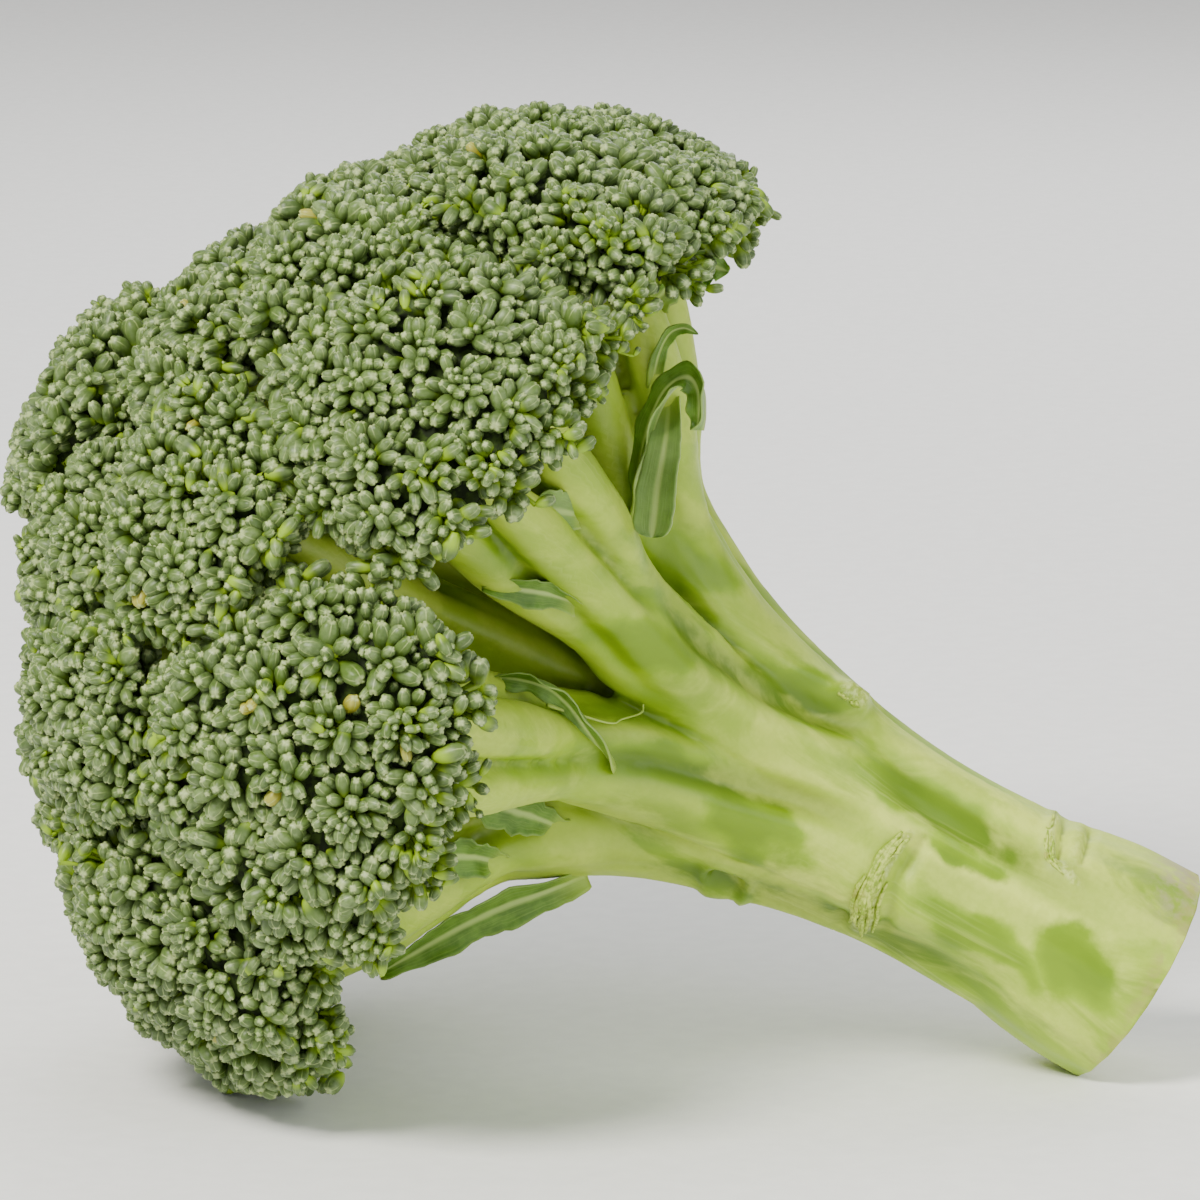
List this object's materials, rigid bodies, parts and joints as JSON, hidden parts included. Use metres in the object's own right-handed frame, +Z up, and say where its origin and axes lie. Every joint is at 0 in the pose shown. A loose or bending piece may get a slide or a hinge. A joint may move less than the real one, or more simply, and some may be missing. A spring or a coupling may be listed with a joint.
{
  "type": "broccoli head",
  "caption": "Head of broccoli lying on its side: a domed crown of tight green flower buds carried by a thick, fluted, branching stalk with a few small leaves at the forks.",
  "frame": {"origin": "middle of the bounding box's base, on the surface that the head lies on", "axes": "+Z up; +X along the head's length towards the cut end of the stalk, with the crown at -X; -Y towards the head's front side"},
  "size_m": [0.173, 0.153, 0.1416],
  "materials": {
    "stalk_flesh": "pale green plant skin with a thin waxy bloom",
    "flower_buds": "matt blue-green closed flower buds with a waxy bloom",
    "leaf_blade": "satin green leaf with a paler midrib"
  },
  "bodies": {
    "root": {"floret_01": "flower_buds", "floret_02": "flower_buds", "floret_03": "flower_buds", "floret_04": "flower_buds", "floret_05": "flower_buds", "floret_06": "flower_buds", "floret_07": "flower_buds", "floret_08": "flower_buds", "floret_09": "flower_buds", "floret_10": "flower_buds", "floret_11": "flower_buds", "floret_12": "flower_buds", "floret_13": "flower_buds", "floret_14": "flower_buds", "floret_15": "flower_buds", "floret_16": "flower_buds", "floret_17": "flower_buds", "floret_18": "flower_buds", "floret_19": "flower_buds", "floret_20": "flower_buds", "floret_21": "flower_buds", "floret_22": "flower_buds", "leaf_ear": "leaf_blade", "leaf_folded": "leaf_blade", "leaf_fork": "leaf_blade", "leaf_hook": "leaf_blade", "leaf_long": "leaf_blade", "leaf_long_low": "leaf_blade", "leaf_loop": "leaf_blade", "leaf_ragged": "leaf_blade", "leaf_stub": "leaf_blade", "leaf_tongue": "leaf_blade", "leaf_torn": "leaf_blade", "stalk": "stalk_flesh"}
  },
  "joints": []
}
